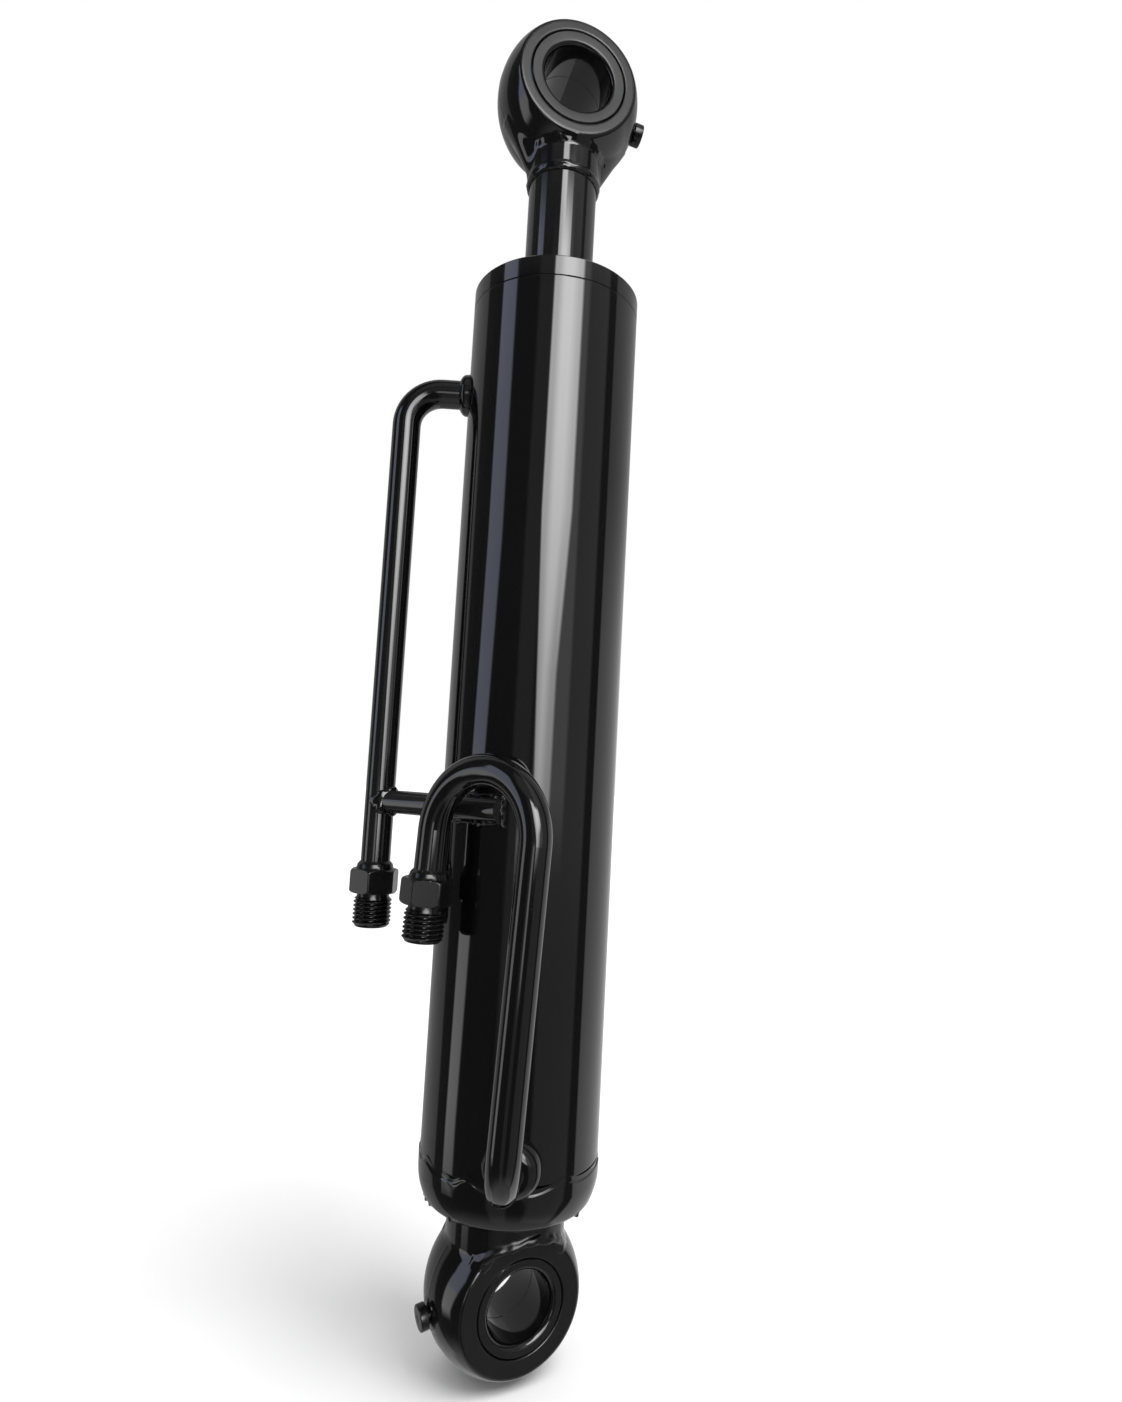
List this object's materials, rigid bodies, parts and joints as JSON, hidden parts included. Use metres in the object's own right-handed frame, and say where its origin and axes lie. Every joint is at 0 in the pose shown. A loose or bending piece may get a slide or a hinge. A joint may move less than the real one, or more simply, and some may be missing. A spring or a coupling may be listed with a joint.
{
  "type": "hydraulic cylinder",
  "caption": "Welded double-acting hydraulic cylinder with a rod that slides and turns, spherical pin eyes, bent oil pipes and threaded port ends, all gloss black.",
  "frame": {"origin": "centre of the base eye's pin bore, on its axis, midway between the eye's faces", "axes": "+Z along the cylinder from the base eye to the rod eye, +Y along the base eye's bore, +X completing a right-handed frame; the pipes are on the -X side"},
  "size_m": [0.1355, 0.1353, 0.752],
  "materials": {
    "black_paint": "gloss",
    "painted_rod": "gloss",
    "black_bush": "satin",
    "black_fitting": "satin",
    "machined_steel": "machined",
    "seal_rubber": "matt",
    "guide_resin": "matt"
  },
  "bodies": {
    "barrel": {"barrel_tube": "black_paint", "gland": "black_paint", "base_cap": "black_paint", "base_weld": "black_paint", "base_eye": "black_paint", "base_eye_weld": "black_paint", "base_eye_bush": "black_bush", "base_grease_plug": "black_fitting", "base_port_boss": "black_paint", "base_pipe": "black_paint", "base_pipe_fitting": "black_fitting", "head_port_boss": "black_paint", "head_pipe": "black_paint", "head_pipe_fitting": "black_fitting", "pipe_stay": "black_paint", "stay_pipe_weld": "black_paint", "stay_barrel_weld": "black_paint", "rod_wiper": "seal_rubber", "rod_seal": "seal_rubber", "rod_guide_ring": "guide_resin", "gland_o_ring": "seal_rubber", "gland_backup_ring": "guide_resin"},
    "piston_rings": {"piston_seal": "seal_rubber", "lower_wear_ring": "guide_resin", "upper_wear_ring": "guide_resin"},
    "rod": {"rod": "painted_rod", "rod_eye": "black_paint", "rod_eye_weld": "black_paint", "rod_eye_bush": "black_bush", "rod_grease_plug": "black_fitting", "piston": "machined_steel", "piston_nut": "machined_steel", "piston_o_ring": "seal_rubber"}
  },
  "joints": [
    {"name": "rod_slide", "type": "slide", "parent": "barrel", "child": "piston_rings", "axis": [0, 0, 1], "range_m": [0, 0.35]},
    {"name": "rod_turn", "type": "hinge", "parent": "piston_rings", "child": "rod", "pos_m": [0, 0, 0.669], "axis": [0, 0, 1], "continuous": true}
  ]
}
